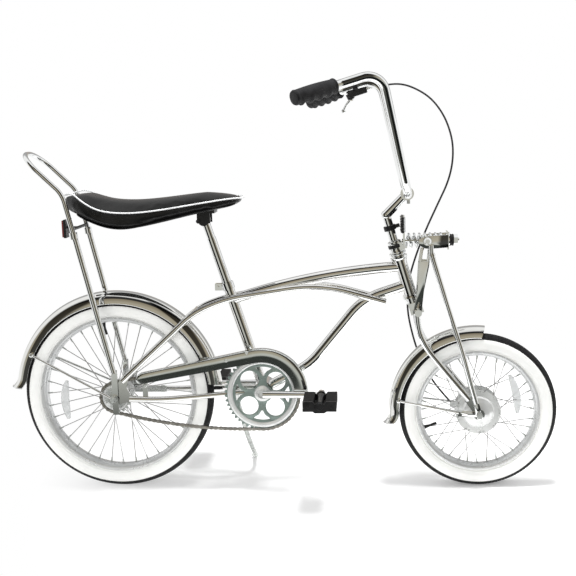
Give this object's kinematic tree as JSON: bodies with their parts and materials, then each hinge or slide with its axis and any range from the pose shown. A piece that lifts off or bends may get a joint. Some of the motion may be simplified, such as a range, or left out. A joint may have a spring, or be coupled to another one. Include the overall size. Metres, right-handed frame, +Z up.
{
  "type": "chopper bicycle",
  "caption": "Low chrome chopper bicycle with banana seat, tall back hoop, high handlebar, springer fork, small front wheel, whitewall tyres, chain guard and side stand.",
  "frame": {"origin": "centre of the leaning bicycle bounding box in plan, on the ground", "axes": "+X towards the front wheel, +Y to the rider's left where the side stand is, +Z up"},
  "size_m": [1.4269, 0.6652, 1.0838],
  "materials": {
    "aluminium": "polished hub shell",
    "black_plastic": "black moulded housing",
    "black_rubber": "black moulded rubber",
    "black_vinyl": "black vinyl cover with white piping",
    "chain_steel": "oiled steel links",
    "chrome": "polished chrome plate",
    "clear_reflector": "clear prismatic plastic",
    "frame_chrome": "polished chrome plate on the frame tubes",
    "red_reflector": "red prismatic plastic",
    "tyre_rubber": "black tread with a white sidewall",
    "zinc_steel": "zinc plated steel"
  },
  "bodies": {
    "frame": {"bottom_bracket": "frame_chrome", "cantilever_tube_left": "frame_chrome", "cantilever_tube_right": "frame_chrome", "chain": "chain_steel", "chain_guard": "chrome", "chain_stay_left": "frame_chrome", "chain_stay_right": "frame_chrome", "coaster_arm": "zinc_steel", "down_tube": "frame_chrome", "frame_bridges": "frame_chrome", "head_tube": "frame_chrome", "kickstand_bracket": "frame_chrome", "rear_axle": "zinc_steel", "rear_fender": "chrome", "rear_fender_stays": "chrome", "rear_reflector": "red_reflector", "seat": "black_vinyl", "seat_clamp": "zinc_steel", "seat_collar": "chrome", "seat_pan": "zinc_steel", "seat_post": "chrome", "seat_tube": "frame_chrome", "sissy_hoop": "chrome", "sissy_strut_left": "chrome", "sissy_strut_right": "chrome", "top_tube": "frame_chrome"},
    "steering": {"fork_leg_right": "chrome", "fork_leg_left": "chrome", "fork_crown": "chrome", "rocker_arms": "chrome", "fork_spring": "chrome", "spring_yoke": "chrome", "truss_rod_right": "chrome", "truss_rod_left": "chrome", "front_axle": "zinc_steel", "front_fender": "chrome", "front_fender_stays": "chrome", "stem": "chrome", "handlebar": "chrome", "grips": "black_rubber", "brake_lever": "black_plastic", "brake_plate": "zinc_steel", "front_reflector": "clear_reflector", "brake_cable": "black_plastic"},
    "front_wheel": {"front_tyre": "tyre_rubber", "front_rim": "chrome", "front_spokes": "chrome", "front_hub": "aluminium"},
    "rear_wheel": {"rear_tyre": "tyre_rubber", "rear_rim": "chrome", "rear_spokes": "chrome", "rear_hub": "aluminium"},
    "sprocket": {"rear_sprocket": "chrome"},
    "crankset": {"crank": "chrome", "chainring": "chrome"},
    "right_pedal": {"pedal_right": "black_rubber"},
    "left_pedal": {"pedal_left": "black_rubber"},
    "stand": {"kickstand": "chrome"}
  },
  "joints": [
    {"name": "steering_turn", "type": "hinge", "parent": "frame", "child": "steering", "pos_m": [0.32641, -0.04028, 0.55003], "axis": [-0.279, 0.0837, 0.9566], "range_deg": [-60, 60]},
    {"name": "front_wheel_spin", "type": "hinge", "parent": "steering", "child": "front_wheel", "pos_m": [0.50996, -0.07067, 0.20273], "axis": [0, 0.9962, -0.0872], "continuous": true},
    {"name": "rear_wheel_spin", "type": "hinge", "parent": "frame", "child": "rear_wheel", "pos_m": [-0.43754, -0.06618, 0.25403], "axis": [0, 0.9962, -0.0872], "continuous": true},
    {"name": "crank_spin", "type": "hinge", "parent": "frame", "child": "crankset", "pos_m": [-0.04854, -0.06548, 0.262], "axis": [0, 0.9962, -0.0872], "continuous": true},
    {"name": "sprocket_spin", "type": "hinge", "parent": "frame", "child": "sprocket", "pos_m": [-0.43754, -0.06618, 0.25403], "axis": [0, 0.9962, -0.0872], "continuous": true},
    {"name": "right_pedal_spin", "type": "hinge", "parent": "crankset", "child": "right_pedal", "pos_m": [0.10646, -0.14093, 0.27161], "axis": [0, 0.9962, -0.0872], "continuous": true},
    {"name": "left_pedal_spin", "type": "hinge", "parent": "crankset", "child": "left_pedal", "pos_m": [-0.20354, 0.00997, 0.25239], "axis": [0, 0.9962, -0.0872], "continuous": true},
    {"name": "stand_fold", "type": "hinge", "parent": "frame", "child": "stand", "pos_m": [-0.13454, -0.04246, 0.22686], "axis": [0.1736, 0.7865, 0.5927], "range_deg": [0, 72]}
  ],
  "couplings": [
    {"joint": "sprocket_spin", "follows": "crank_spin", "ratio": 2.4}
  ]
}
